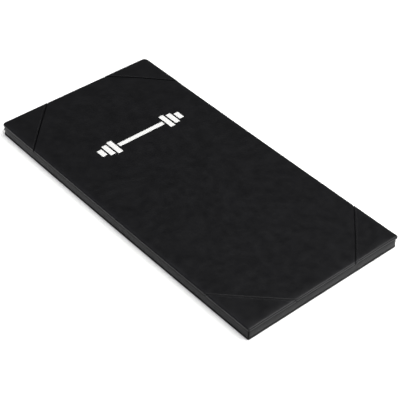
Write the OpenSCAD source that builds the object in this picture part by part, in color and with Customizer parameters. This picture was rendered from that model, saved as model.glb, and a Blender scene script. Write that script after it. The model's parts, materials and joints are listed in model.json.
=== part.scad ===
// Gym mat: one foam slab in a zipped leatherette cover with reinforced corners.
// It lies on z = 0 with its length along Y, its width along X and the zip on the +Y side.

/* [Mat] */
// Length over the rolled edges
mat_length = 2000; // [1200:50:2400]
// Width over the rolled edges
mat_width = 1000; // [600:50:1200]
// Height from the floor to the top panel
mat_thickness = 74; // [60:1:100]
// Radius of the mat's corners, seen from above
corner_radius = 20; // [18:1:40]

/* [Cover] */
// Thickness of the coated leatherette
sheet_t = 1.2; // [0.8:0.1:1.6]
// Radius of the rolled edge around the top panel
top_roll_r = 7; // [5:1:12]
// Height of the top panel's edge, from its seam to the flat face
top_drop = 13; // [12:1:16]
// Radius of the rolled edge around the bottom panel
bottom_roll_r = 7; // [5:1:9]
// Height of the bottom panel's edge, from its seam to the floor
bottom_drop = 9; // [9:1:12]
// How far the side bands sit behind the rolled edges
band_inset = 2.5; // [1.5:0.5:3]
// Clearance between the foam and the bands
foam_gap = 0.3; // [0.2:0.1:1]

/* [Corner patches] */
// Length of a patch along each edge of the mat
patch_leg = 300; // [150:10:400]
// Thickness of a patch
patch_t = 1.0; // [0.6:0.1:1.4]
// Thickness at the turned hem along the patch's long edge
hem_t = 2.0; // [1.6:0.1:2.4]
// Width of that hem
hem_w = 12; // [8:1:16]

/* [Zip] */
// Height of the window between the two strips of the zip side
zip_window = 20; // [18:1:24]
// Width of tape hidden behind each strip
tape_lap = 8; // [5:1:10]
// Thickness of the zip's tape
tape_t = 0.8; // [0.6:0.1:1]
// Width of one row of the coil
coil_w = 2.8; // [2.4:0.1:3.2]
// How far the coil stands out from the tape
coil_h = 2.4; // [2:0.1:2.8]
// Gap between the two tapes and between the two rows
row_gap = 1.2; // [1.1:0.1:1.6]
// Length of the slider's body
slider_len = 14; // [12:1:18]
// Height of the slider's bail above its plate
bail_h = 5.5; // [5:0.5:7]
// Length of the pull link between its two eyes
link_len = 26; // [20:1:28]
// Radius of the pull ring, to the middle of its wire
ring_r = 5.5; // [4:0.5:6]
// Length of the pull ring's straight sides
ring_straight = 1; // [1:1:8]
// Angle at which the pull leans from the vertical
pull_lean = 44; // [30:1:48]

/* [Emblem] */
// Width of the printed emblem
emblem_w = 560; // [200:10:560]
// Distance of its centre from the middle of the mat, across
emblem_x = 30; // [-20:5:40]
// Distance of its centre from the zip edge
emblem_from_zip = 555; // [480:5:700]
// Thickness of the ink
ink_t = 0.2; // [0.1:0.05:0.3]

/* [Hidden] */
$fn = 64;
leatherette = "#1c1c1d";
under_vinyl = "#242426";
foam_grey = "#8d8f92";
zip_black = "#101011";
nickel = "#c9cacb";
ink_white = "#f2f2f0";

// Centres of the corner arcs
arc_x = mat_width / 2 - corner_radius;
arc_y = mat_length / 2 - corner_radius;
foam_relief = 0.5;
// Radii about those centres
band_out = corner_radius - band_inset;
band_in = band_out - sheet_t;
tape_in = band_in - tape_t;
foam_out = band_in - foam_gap;
foam_top_chamfer = foam_out - (corner_radius - top_roll_r) + foam_relief;
foam_bottom_chamfer = foam_out - (corner_radius - bottom_roll_r) + foam_relief;
// Heights of the seams between the panels and the bands
seam_top = mat_thickness - top_drop;
seam_bottom = bottom_drop;

// Thread
thread_w = 1.0;
thread_t = 0.4;
thread_inset = 3;

// Zip, measured from the outer face of its tape
zip_z = mat_thickness / 2;
tape_face = arc_y + band_in;
zip_clear = 0.4;
plate_t = 1.6;
inner_plate_t = 1.2;
flange_t = 1.2;
stop_len = 2;
stop_clear = 0.3;
coil_step = 0.6;
slide_end = arc_x - stop_len - stop_clear - slider_len / 2;
channel_half = row_gap / 2 + coil_w + zip_clear;
slider_half = channel_half + flange_t;
plate_in = tape_face + coil_h + zip_clear;
plate_out = plate_in + plate_t;
inner_plate_out = tape_face - tape_t - zip_clear;
zip_room = band_in - foam_gap - (inner_plate_out - inner_plate_t - zip_clear - arc_y);
post_len = 5;
post_back = 1;
weld = 0.1;
web_clear = 0.35;
web_t = row_gap - 2 * web_clear;

// Bail, pull link and pull ring
bail_r = 0.9;
bail_post = 2.2;
bail_margin = 0.3;
bail_gap = slider_len - 2 * (bail_post + bail_margin);
bail_cap = 0.4;
bail_y = plate_out + bail_h;
bail_x = -slide_end;
pull_along = 3.3;
pull_x = bail_x - bail_gap / 2 + pull_along;
pull_clear = 0.4;
link_t = 1.4;
link_w = 6;
slot_up = bail_r / cos(pull_lean) + link_t / 2 * tan(pull_lean) + pull_clear;
slot_play = 1.2;
slot_down = slot_up + slot_play;
slot_w = 2 * (bail_r + pull_clear);
eye_wall = 1.4;
eye_r = 1.5;
wire_r = 0.8;

// Emblem
emblem_y = mat_length / 2 - emblem_from_zip;
bar_w = emblem_w * 0.055;
bar_step = emblem_w * 0.075;
bar_lengths = [0.10, 0.16, 0.20];
grip_h = emblem_w * 0.05;

// ---------- shared shapes ----------

// A side wall that faces +Y: straight for run, then an eighth of a circle at each end
module wall(run, r0, r1, z0, z1) {
    translate([0, 0, z0])
        linear_extrude(z1 - z0) {
            translate([-run / 2, r0]) square([run, r1 - r0]);
            for (side = [-1, 1])
                translate([side * run / 2, 0])
                    intersection() {
                        difference() {
                            circle(r1);
                            circle(r0);
                        }
                        polygon([[0, 0], [0, 2 * r1], [side * 2 * r1, 2 * r1]]);
                    }
        }
}

// A closed slab whose edge has the 2D section given, x from the corner arcs' centres
module edged_slab(half_x, y0, y1, z0, z1) {
    translate([-half_x, y0, z0]) cube([2 * half_x, y1 - y0, z1 - z0]);
    for (side = [-1, 1]) {
        translate([side * half_x, side > 0 ? y0 : y1, 0])
            rotate([90, 0, side > 0 ? 0 : 180])
                mirror([0, 0, 1]) linear_extrude(y1 - y0) children();
        translate([side > 0 ? half_x : -half_x, side > 0 ? y1 : y0, 0])
            rotate([90, 0, side > 0 ? 90 : -90])
                mirror([0, 0, 1]) linear_extrude(2 * half_x) children();
    }
    for (corner = [[half_x, y1, 0], [-half_x, y1, 90], [-half_x, y0, 180], [half_x, y0, 270]])
        translate([corner[0], corner[1], 0])
            rotate([0, 0, corner[2]]) rotate_extrude(angle = 90) children();
}

// Section of a layer over a rolled edge, t0 to t1 out from the panel's outer face at height 0
module roll_section(t0, t1, roll, drop) {
    translate([0, t0]) square([corner_radius - roll, t1 - t0]);
    translate([corner_radius - roll, -roll])
        intersection() {
            difference() {
                circle(roll + t1);
                circle(roll + t0);
            }
            square(roll + t1);
        }
    translate([corner_radius + t0, -drop]) square([t1 - t0, drop - roll]);
}

// A panel with its outer face at height 0: a sheet, its rolled edge and the flange at the seam
module panel(roll, drop) {
    edged_slab(arc_x, -arc_y, arc_y, -sheet_t, 0) {
        union() {
            roll_section(-sheet_t, 0, roll, drop);
            translate([band_in, -drop]) square([corner_radius - band_in, sheet_t]);
        }
    }
}

// A layer over one top corner, seen from the corner arc's centre with the mat's corner at +X +Y
module corner_layer(t0, t1) {
    back = patch_leg - corner_radius;
    translate([0, 0, mat_thickness]) {
        translate([-back, -back, t0]) cube([back, back, t1 - t0]);
        rotate([90, 0, 0]) linear_extrude(back) roll_section(t0, t1, top_roll_r, top_drop);
        translate([-back, 0, 0])
            rotate([90, 0, 90]) linear_extrude(back) roll_section(t0, t1, top_roll_r, top_drop);
        rotate_extrude(angle = 90) roll_section(t0, t1, top_roll_r, top_drop);
    }
}

// The wedge of space outside a 45 degree line across a corner, d inside the patch's edge
module corner_wedge(d) {
    edge = 2 * corner_radius - patch_leg + d * sqrt(2);
    far = corner_radius + 10;
    linear_extrude(mat_thickness + 10)
        polygon([[edge - far, far], [far, edge - far], [far, far]]);
}

module corner_patch() {
    color(leatherette) {
        intersection() {
            corner_layer(0, patch_t);
            corner_wedge(0);
        }
        intersection() {
            corner_layer(patch_t, hem_t);
            difference() {
                corner_wedge(0);
                corner_wedge(hem_w);
            }
        }
    }
}

module at_corner(x_sign, y_sign) {
    turn = x_sign > 0 ? (y_sign > 0 ? 0 : 270) : (y_sign > 0 ? 90 : 180);
    translate([x_sign * arc_x, y_sign * arc_y, 0]) rotate([0, 0, turn]) children();
}

// A line of thread on the hem, on the flat between the two rolled edges
module hem_thread_line(inset) {
    edge = 2 * corner_radius - patch_leg + inset * sqrt(2);
    line = (2 * (corner_radius - top_roll_r) - edge) * sqrt(2);
    translate([edge / 2, edge / 2, mat_thickness + hem_t])
        rotate([0, 0, -45])
            translate([-line / 2, -thread_w / 2, 0]) cube([line, thread_w, thread_t]);
}

// ---------- the cover and the foam ----------

module foam_core() {
    z0 = sheet_t;
    z1 = mat_thickness - sheet_t;
    low = foam_bottom_chamfer;
    high = foam_top_chamfer;
    color(foam_grey)
        edged_slab(arc_x, -arc_y, arc_y - zip_room, z0, z1)
            polygon([
                [0, z0], [foam_out - low, z0], [foam_out, z0 + low],
                [foam_out, z1 - high], [foam_out - high, z1], [0, z1]
            ]);
}

module top_panel() {
    color(leatherette) translate([0, 0, mat_thickness]) panel(top_roll_r, top_drop);
}

module bottom_panel() {
    color(under_vinyl) mirror([0, 0, 1]) panel(bottom_roll_r, bottom_drop);
}

module side_band(run) {
    color(leatherette) wall(run, band_in, band_out, seam_bottom, seam_top);
}

module side_band_right() {
    translate([arc_x, 0, 0]) rotate([0, 0, -90]) side_band(2 * arc_y);
}

module side_band_left() {
    translate([-arc_x, 0, 0]) rotate([0, 0, 90]) side_band(2 * arc_y);
}

module side_band_near() {
    translate([0, -arc_y, 0]) rotate([0, 0, 180]) side_band(2 * arc_x);
}

module zip_strip(z0, z1) {
    color(leatherette) translate([0, arc_y, 0]) wall(2 * arc_x, band_in, band_out, z0, z1);
}

module corner_thread() {
    color(zip_black)
        for (sx = [-1, 1], sy = [-1, 1])
            at_corner(sx, sy) {
                hem_thread_line(thread_inset);
                hem_thread_line(hem_w - thread_inset);
            }
}

module zip_thread() {
    color(zip_black)
        for (side = [-1, 1])
            translate([
                -arc_x, arc_y + band_out,
                zip_z + side * (zip_window / 2 + thread_inset) - thread_w / 2
            ])
                cube([2 * arc_x, thread_t, thread_w]);
}

// ---------- the zip ----------

module zip_tape(side) {
    low = row_gap / 2;
    high = zip_window / 2 + tape_lap;
    z0 = side > 0 ? zip_z + low : zip_z - high;
    color(zip_black)
        translate([0, arc_y, 0]) wall(2 * arc_x, tape_in, band_in, z0, z0 + high - low);
}

module zip_coil(side) {
    z0 = zip_z + side * (row_gap / 2 + coil_w / 2) - coil_w / 2;
    run = 2 * (arc_x - stop_len);
    color(zip_black)
        translate([-run / 2, tape_face, z0])
            difference() {
                cube([run, coil_h, coil_w]);
                translate([-1, coil_h - coil_step, side > 0 ? coil_w - coil_step : -1])
                    cube([run + 2, 1 + coil_step, 1 + coil_step]);
            }
}

module zip_top_stops() {
    color(nickel)
        for (side = [-1, 1])
            translate([-arc_x, tape_face, zip_z + side * (row_gap / 2 + coil_w / 2) - coil_w / 2])
                cube([stop_len, coil_h, coil_w]);
}

module zip_bottom_stop() {
    half = row_gap / 2 + coil_w;
    color(nickel)
        translate([arc_x - stop_len, tape_face, zip_z - half])
            cube([stop_len, coil_h, 2 * half]);
}

module slider_plate(y0, y1) {
    nose = slider_half;
    translate([0, y0, zip_z])
        rotate([-90, 0, 0])
            linear_extrude(y1 - y0) {
                translate([-slider_len / 2 + nose, -slider_half])
                    square([slider_len - nose, 2 * slider_half]);
                translate([-slider_len / 2 + nose, 0]) circle(slider_half);
            }
}

module zip_slider() {
    color(zip_black)
        translate([-slide_end, 0, 0]) {
            slider_plate(plate_in, plate_out);
            slider_plate(inner_plate_out - inner_plate_t, inner_plate_out);
            for (side = [-1, 1])
                translate([
                    -slider_len / 2 + slider_half,
                    tape_face + zip_clear,
                    zip_z + side * (channel_half + flange_t / 2) - flange_t / 2
                ])
                    cube([slider_len - slider_half, coil_h + weld, flange_t]);
            translate([-slider_len / 2 + post_back, inner_plate_out - weld, zip_z - web_t / 2])
                cube([post_len, plate_in - inner_plate_out + 2 * weld, web_t]);
        }
    color(zip_black)
        translate([bail_x, 0, 0]) {
            for (side = [-1, 1])
                translate([
                    side * (bail_gap + bail_post) / 2 - bail_post / 2,
                    plate_out - weld,
                    zip_z - bail_post / 2
                ])
                    cube([bail_post, bail_h + bail_r + bail_cap + 2 * weld, bail_post]);
            translate([-bail_gap / 2 - weld, bail_y, zip_z])
                rotate([0, 90, 0]) cylinder(h = bail_gap + 2 * weld, r = bail_r);
        }
}

// Frame of the leaning pull: origin on the bail, -Z down the link, X through its eyes
module pull_frame() {
    translate([pull_x, bail_y, zip_z]) rotate([0, pull_lean, 0]) children();
}

module zip_pull_link() {
    top = slot_up + eye_wall;
    color(zip_black)
        pull_frame()
            difference() {
                rotate([90, 0, 90])
                    linear_extrude(link_t, center = true) {
                        translate([-link_w / 2, -link_len]) square([link_w, link_len + top]);
                        translate([0, -link_len]) circle(link_w / 2);
                    }
                translate([-link_t, -slot_w / 2, -slot_down])
                    cube([2 * link_t, slot_w, slot_up + slot_down]);
                translate([0, 0, -link_len])
                    rotate([0, 90, 0]) cylinder(h = 4 * link_t, r = eye_r, center = true);
            }
}

module zip_pull_ring() {
    color(nickel)
        pull_frame()
            translate([0, 0, -link_len - ring_r]) {
                for (side = [-1, 1])
                    translate([side * ring_r, 0, -ring_straight])
                        cylinder(h = ring_straight, r = wire_r);
                rotate([90, 0, 0])
                    rotate_extrude(angle = 180) translate([ring_r, 0]) circle(wire_r);
                translate([0, 0, -ring_straight])
                    rotate([90, 180, 0])
                        rotate_extrude(angle = 180) translate([ring_r, 0]) circle(wire_r);
            }
}

// ---------- the print ----------

// A plain dumbbell: a grip with three plates at each end, the longest inside
module printed_emblem() {
    half = emblem_w / 2;
    color(ink_white)
        translate([emblem_x, emblem_y, mat_thickness])
            linear_extrude(ink_t) {
                for (side = [-1, 1], i = [0 : len(bar_lengths) - 1]) {
                    tall = bar_lengths[i] * emblem_w;
                    translate([side * (half - bar_w / 2 - i * bar_step) - bar_w / 2, -tall / 2])
                        square([bar_w, tall]);
                }
                inner = half - bar_w - (len(bar_lengths) - 1) * bar_step;
                gap = bar_step - bar_w;
                translate([-inner + gap, -grip_h / 2]) square([2 * (inner - gap), grip_h]);
            }
}

foam_core();
top_panel();
bottom_panel();
side_band_left();
side_band_right();
side_band_near();
zip_strip(zip_z + zip_window / 2, seam_top);  // zip_strip_upper
zip_strip(seam_bottom, zip_z - zip_window / 2);  // zip_strip_lower
at_corner(-1, 1) corner_patch();  // corner_patch_far_left
at_corner(1, 1) corner_patch();  // corner_patch_far_right
at_corner(-1, -1) corner_patch();  // corner_patch_near_left
at_corner(1, -1) corner_patch();  // corner_patch_near_right
corner_thread();
zip_thread();
zip_tape(1);  // zip_tape_upper
zip_tape(-1);  // zip_tape_lower
zip_coil(1);  // zip_coil_upper
zip_coil(-1);  // zip_coil_lower
zip_top_stops();
zip_bottom_stop();
zip_slider();
zip_pull_link();
zip_pull_ring();
printed_emblem();
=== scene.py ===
# %% [markdown]
# # A zipped gym mat
# The real thing is a slab of closed-cell foam in a sewn bag of black coated fabric. The top and
# bottom sheets roll over the slab's edges, a band runs round the side between them, four
# triangular patches guard the corners, and a coil zip closes one short side.
# The CAD frame fixes every size and joint. This script only makes the pieces look real, so it
# starts by loading that frame and noting how big it is.

# %% Load the frame
import json
import math

import bmesh
import bpy
from mathutils import Matrix, Vector, noise
from mathutils.bvhtree import BVHTree

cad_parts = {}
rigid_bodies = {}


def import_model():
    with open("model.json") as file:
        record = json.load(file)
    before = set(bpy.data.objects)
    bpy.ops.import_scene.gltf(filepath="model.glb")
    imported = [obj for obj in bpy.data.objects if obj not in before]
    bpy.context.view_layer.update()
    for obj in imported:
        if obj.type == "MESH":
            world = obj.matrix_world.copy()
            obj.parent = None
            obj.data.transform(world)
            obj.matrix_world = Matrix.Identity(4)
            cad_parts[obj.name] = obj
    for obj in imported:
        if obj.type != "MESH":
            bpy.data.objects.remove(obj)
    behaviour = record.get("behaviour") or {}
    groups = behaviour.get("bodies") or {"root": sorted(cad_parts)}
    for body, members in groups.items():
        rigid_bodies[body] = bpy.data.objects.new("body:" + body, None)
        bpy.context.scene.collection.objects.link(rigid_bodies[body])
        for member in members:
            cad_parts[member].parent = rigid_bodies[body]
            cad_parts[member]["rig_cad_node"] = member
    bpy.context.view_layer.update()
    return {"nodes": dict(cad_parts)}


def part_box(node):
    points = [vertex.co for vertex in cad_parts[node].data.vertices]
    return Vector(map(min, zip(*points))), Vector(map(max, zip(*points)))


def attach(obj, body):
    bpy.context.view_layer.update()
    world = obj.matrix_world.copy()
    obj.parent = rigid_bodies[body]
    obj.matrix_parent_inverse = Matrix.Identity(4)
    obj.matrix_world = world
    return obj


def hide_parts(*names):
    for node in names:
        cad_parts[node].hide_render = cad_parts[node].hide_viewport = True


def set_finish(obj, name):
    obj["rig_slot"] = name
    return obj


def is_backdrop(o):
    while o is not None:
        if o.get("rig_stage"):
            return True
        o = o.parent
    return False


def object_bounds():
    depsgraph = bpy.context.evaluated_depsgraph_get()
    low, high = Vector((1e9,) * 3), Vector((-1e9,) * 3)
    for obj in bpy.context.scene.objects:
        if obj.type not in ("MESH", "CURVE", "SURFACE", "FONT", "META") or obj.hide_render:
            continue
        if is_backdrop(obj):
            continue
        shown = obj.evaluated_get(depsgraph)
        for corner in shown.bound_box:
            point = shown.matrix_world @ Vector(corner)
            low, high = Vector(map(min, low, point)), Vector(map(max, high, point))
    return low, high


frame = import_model()
scene = bpy.context.scene

# %% [markdown]
# ## The camera
# A long lens from far away keeps the mat's two long sides almost parallel, as a catalogue
# picture does. The camera looks down at about 41 degrees over the near left corner, and it is
# turned a little about its own axis. It comes first so that every later cell can be judged
# through it.

# %% Camera
EYE = Vector((-3.2807, -3.7816, 4.2470))
AIM = Vector((-0.0540, -0.1393, 0.0370))
ROLL = math.radians(1.384)
LENS_MM = 112.71
SENSOR_MM = 36.0

camera_data = bpy.data.cameras.new("camera")
camera_data.lens = LENS_MM
camera_data.sensor_width = SENSOR_MM
camera_data.clip_end = 60.0
camera = bpy.data.objects.new("camera", camera_data)
scene.collection.objects.link(camera)
camera.rotation_mode = "QUATERNION"
camera.location = EYE
look = (AIM - EYE).to_track_quat("-Z", "Y")
camera.rotation_quaternion = look @ Matrix.Rotation(ROLL, 3, "Z").to_quaternion()
scene.camera = camera
print("camera is", round((AIM - EYE).length, 2), "m from the mat")

# %% [markdown]
# ## The mat's sizes
# Every position comes from the CAD nodes' boxes, so the looks can't drift from the frame. The
# few sizes that a box can't tell, such as the radius of a rolled edge, are written once here.

# %% Sizes
top_low, top_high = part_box("top_panel")
bottom_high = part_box("bottom_panel")[1]
tape_low, tape_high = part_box("zip_tape_upper")
strip_low, strip_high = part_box("zip_strip_upper")
lower_strip_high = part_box("zip_strip_lower")[1].z

HALF_W, HALF_L, HEIGHT = top_high.x, top_high.y, top_high.z
SEAM_TOP, SEAM_LOW = top_low.z, bottom_high.z
WINDOW_TOP, WINDOW_LOW = strip_low.z, lower_strip_high
ZIP_Z = (WINDOW_TOP + WINDOW_LOW) / 2
TOP_ROLL, LOW_ROLL = 0.007, 0.007
BAND_SET_IN = HALF_L - strip_high.y
SHEET, PATCH_SHEET = 0.0012, 0.0009
PATCH_LEG = 0.300
# By (x, y) sign. At 32 mm the far right corner curved the tapes into the slider.
CORNER_R = {(-1, -1): 0.010, (1, -1): 0.014, (-1, 1): 0.021, (1, 1): 0.024}
MEAN_R = 0.020  # the frame's one corner radius
CORE_X, CORE_Y = HALF_W - MEAN_R, HALF_L - MEAN_R
PATCH_SUM = HALF_W + HALF_L - PATCH_LEG  # |x| + |y| along a patch's long edge
GRID = 0.020
MM = 0.001
SLANT = math.sqrt(0.5)
print("mat", HALF_W * 2, HALF_L * 2, HEIGHT, "band is set in", round(BAND_SET_IN, 4))

# %% [markdown]
# ## Small helpers
# `new_piece` turns a bmesh into an object at the origin. `refine` lays a modifier's result into
# the mesh, so that later steps can move its points.


# %% Helpers for pieces
def new_piece(name, bm, smooth=True):
    """An object at the origin made from a bmesh, which is freed."""
    mesh = bpy.data.meshes.new(name)
    bm.to_mesh(mesh)
    bm.free()
    for face in mesh.polygons:
        face.use_smooth = smooth
    piece = bpy.data.objects.new(name, mesh)
    scene.collection.objects.link(piece)
    return piece


def settled_mesh(piece):
    """The piece's mesh with its modifiers in it."""
    graph = bpy.context.evaluated_depsgraph_get()
    graph.update()
    return bpy.data.meshes.new_from_object(piece.evaluated_get(graph))


def refine(piece):
    """Keeps the modifiers' result as the piece's own mesh."""
    mesh = settled_mesh(piece)
    piece.modifiers.clear()
    piece.data = mesh


def give_thickness(piece, thickness, offset=-1.0):
    """A live wall: offset -1 grows it inwards from the outer face, 1 outwards."""
    wall = piece.modifiers.new("wall", "SOLIDIFY")
    wall.thickness = thickness
    wall.offset = offset
    return wall


def count(piece):
    print(piece.name, len(piece.data.vertices), "points,", len(piece.data.polygons), "faces")


# %% [markdown]
# ## The sewn cover as one skin
# A real cover is cut flat, sewn into a bag and pulled over the foam, so its pieces meet exactly
# at their seams. Modelling each piece alone would leave gaps there. So the whole skin is built
# first as one closed shell: the flat top is a grid, its rounded outline is pushed out and down
# ring by ring to make the roll, the lip, the set-in band and the lower roll, and planes then cut
# it into even squares. It is shaped as one piece of cloth and only then cut along its seams.


# %% Rings of the skin
def outward(co):
    """The level direction away from the mat's middle at a point near its rim."""
    radius = CORNER_R[(1 if co.x > 0 else -1, 1 if co.y > 0 else -1)]
    wide, long = HALF_W - radius, HALF_L - radius
    away = Vector((
        co.x - max(-wide, min(wide, co.x)),
        co.y - max(-long, min(long, co.y)),
        0.0,
    ))
    return away.normalized()


def add_ring(bm, rim, out, down):
    """Extrudes an open rim by real distances and returns the new rim."""
    made = bmesh.ops.extrude_edge_only(bm, edges=rim)["geom"]
    for v in (g for g in made if isinstance(g, bmesh.types.BMVert)):
        v.co += outward(v.co) * out
        v.co.z -= down
    return [g for g in made if isinstance(g, bmesh.types.BMEdge) and g.is_boundary]


def roll_steps(radius, steps, under=False):
    """(out, down) for each step of a quarter-round edge."""
    angles = [math.pi / 2 * i / steps for i in range(steps + 1)]
    pairs = [
        (radius * (math.sin(b) - math.sin(a)), radius * (math.cos(a) - math.cos(b)))
        for a, b in zip(angles, angles[1:])
    ]
    return [(-o, d) for o, d in reversed(pairs)] if under else pairs


skin = bmesh.new()
bmesh.ops.create_grid(skin, x_segments=1, y_segments=1, size=1.0)
bmesh.ops.scale(skin, vec=(HALF_W - TOP_ROLL, HALF_L - TOP_ROLL, 1.0), verts=skin.verts)
bmesh.ops.translate(skin, vec=(0, 0, HEIGHT), verts=skin.verts)
for (sx, sy), radius in CORNER_R.items():
    tip = [v for v in skin.verts if v.co.x * sx > HALF_W / 2 and v.co.y * sy > HALF_L / 2]
    bmesh.ops.bevel(skin, geom=tip, offset=radius - TOP_ROLL, segments=6,
                    affect="VERTICES", profile=0.5, material=-1)
rim = [e for e in skin.edges if e.is_boundary]
band_rows = [SEAM_TOP, SEAM_TOP - 3 * MM, SEAM_TOP - 8 * MM, WINDOW_TOP, ZIP_Z, WINDOW_LOW,
             SEAM_LOW + 8 * MM, SEAM_LOW + 3 * MM, SEAM_LOW]
lip_drop = HEIGHT - TOP_ROLL - SEAM_TOP
course = roll_steps(TOP_ROLL, 4)
course += [(0.0, lip_drop), (-BAND_SET_IN, 0.0)]
course += [(0.0, a - b) for a, b in zip(band_rows, band_rows[1:])]
course += [(BAND_SET_IN, 0.0), (0.0, SEAM_LOW - LOW_ROLL)]
course += roll_steps(LOW_ROLL, 3, under=True)
for out, down in course:
    rim = add_ring(skin, rim, out, down)
bmesh.ops.edgeloop_fill(skin, edges=rim)
bmesh.ops.recalc_face_normals(skin, faces=skin.faces[:])
print("skin outline done:", len(skin.verts), "points,", len(course), "rings")


# %% Cut the skin into even squares
def slice_skin(bm, normal, distance, faces=None):
    """Cuts the shell, or some of its faces, by one plane."""
    cut = faces if faces is not None else bm.faces[:]
    edges = list({e for f in cut for e in f.edges})
    verts = list({v for f in cut for v in f.verts})
    bmesh.ops.bisect_plane(
        bm, geom=verts + edges + cut, dist=1e-4,
        plane_co=Vector(normal) * distance, plane_no=Vector(normal),
    )


for normal, half in (((1, 0, 0), HALF_W), ((0, 1, 0), HALF_L)):
    lines = int(round((half - GRID) / GRID))
    for i in range(-lines, lines + 1):
        slice_skin(skin, normal, i * GRID)
print("skin cut:", len(skin.verts), "points,", len(skin.faces), "faces")

# %% [markdown]
# ## Let the cloth settle
# Coated fabric over foam is nearly flat, but never quite: the bag is a little bigger than the
# slab, so it crowns between its seams and buckles into long shallow waves. That is what a cloth
# simulation gives for free. The shell gets Blender's Cloth with a little pressure inside and a
# little spare cloth, its seams and underside are pinned, and the flat areas are held loosely, as
# the foam holds them. A faint noise is set in first, so that it buckles the same way every run.
# No point may move more than a few millimetres.


# %% Spare cloth before it settles
def waves(x, y, size, seed):
    """Smooth noise from -1 to 1 whose waves are about size metres long."""
    return noise.noise(Vector((x / size, y / size, seed)))


def corner_offset(co):
    """Distance from the vertical plane through the nearest corner's middle."""
    return abs((HALF_W - abs(co.x)) - (HALF_L - abs(co.y))) * SLANT


CLOTH_CAP = 4.0 * MM
HOLD_FIRM, HOLD_TOP, HOLD_BAND = 1.0, 0.35, 0.20  # how firmly seams, top and bands are held
for v in skin.verts:
    if v.co.z > HEIGHT - TOP_ROLL:
        v.co.z += 0.9 * MM * waves(v.co.x, v.co.y, 0.19, 3.1)
    elif SEAM_LOW + MM < v.co.z < SEAM_TOP - MM:
        v.co += outward(v.co) * 0.5 * MM * waves(v.co.x + v.co.z, v.co.y - v.co.z, 0.12, 7.7)
cover = new_piece("cover_skin", skin)

hold = cover.vertex_groups.new(name="hold")
for v in cover.data.vertices:
    on_seam = min(abs(v.co.z - SEAM_TOP), abs(v.co.z - SEAM_LOW)) < MM
    under = v.co.z < SEAM_LOW
    apex = corner_offset(v.co) < MM and abs(v.co.x) > CORE_X
    firm = on_seam or under or apex
    weight = HOLD_FIRM if firm else (HOLD_TOP if v.co.z > SEAM_TOP else HOLD_BAND)
    hold.add([v.index], weight, "REPLACE")
count(cover)

# %% Simulate
FRAMES = 20
cloth = cover.modifiers.new("cloth", "CLOTH")
cloth.settings.quality = 4
cloth.settings.mass = 0.5
cloth.settings.tension_stiffness = 25.0
cloth.settings.compression_stiffness = 25.0
cloth.settings.bending_stiffness = 2.0
cloth.settings.vertex_group_mass = "hold"
cloth.settings.pin_stiffness = 1.0
cloth.settings.shrink_min = -0.0008
cloth.settings.use_pressure = True
cloth.settings.uniform_pressure_force = 4.0
cloth.settings.effector_weights.gravity = 0.0
cloth.collision_settings.use_collision = False
cloth.point_cache.frame_start, cloth.point_cache.frame_end = 1, FRAMES
before = [v.co.copy() for v in cover.data.vertices]
for step in range(1, FRAMES + 1):
    scene.frame_set(step)
settled = settled_mesh(cover)
furthest = 0.0
for v, start, end in zip(cover.data.vertices, before, settled.vertices):
    move = end.co - start
    furthest = max(furthest, move.length)
    if move.length > CLOTH_CAP:
        move *= CLOTH_CAP / move.length
    v.co = start + move
cover.modifiers.clear()
scene.frame_set(1)
print("cloth moved up to", round(furthest / MM, 2), "mm before the cap")

# %% [markdown]
# ## Finer cloth, then the marks of use
# One round of subdivision halves the squares and rounds the folds. Then come the shapes that
# are too small for the simulation: soft creases in the top that grow towards the near left
# corner, the bands pulled in at their seams and pinched at the corners, and the top's corners
# that overhang a little. They are moves of the skin's own points, so every piece cut from it
# later shares them.

# %% Subdivide the skin
finer = cover.modifiers.new("finer", "SUBSURF")
finer.levels = finer.render_levels = 1
refine(cover)
count(cover)


# %% Creases, corners and the pulled-in band
EARS = ((-1, 1, 1.5 * MM), (1, -1, 3.5 * MM), (1, 1, -2.5 * MM))  # corner, top's overhang
EAR_REACH = 26 * MM
PULL_IN, CORNER_PINCH = 2.8 * MM, 1.8 * MM


def patch_distance(x, y):
    """Distance from the nearest patch's long edge, positive on the patch."""
    return (abs(x) + abs(y) - PATCH_SUM) * SLANT


def crease(x, y):
    """Height of the soft creases in the top sheet, in metres."""
    to_edge = min(HALF_W - abs(x), HALF_L - abs(y))
    near_left = math.exp(-((x + HALF_W) ** 2 + (y + HALF_L) ** 2) / 0.45**2)
    broad = waves(x, y, 0.16, 11.0) * 0.7
    fine = waves(x, y, 0.055, 5.0) * waves(x, y, 0.30, 9.0)
    puckers = waves(x, y, 0.045, 21.0) * math.exp(-to_edge / 0.030)
    return MM * (broad * 0.6 + fine * (0.4 + 1.4 * near_left) + puckers * 0.5)


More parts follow.
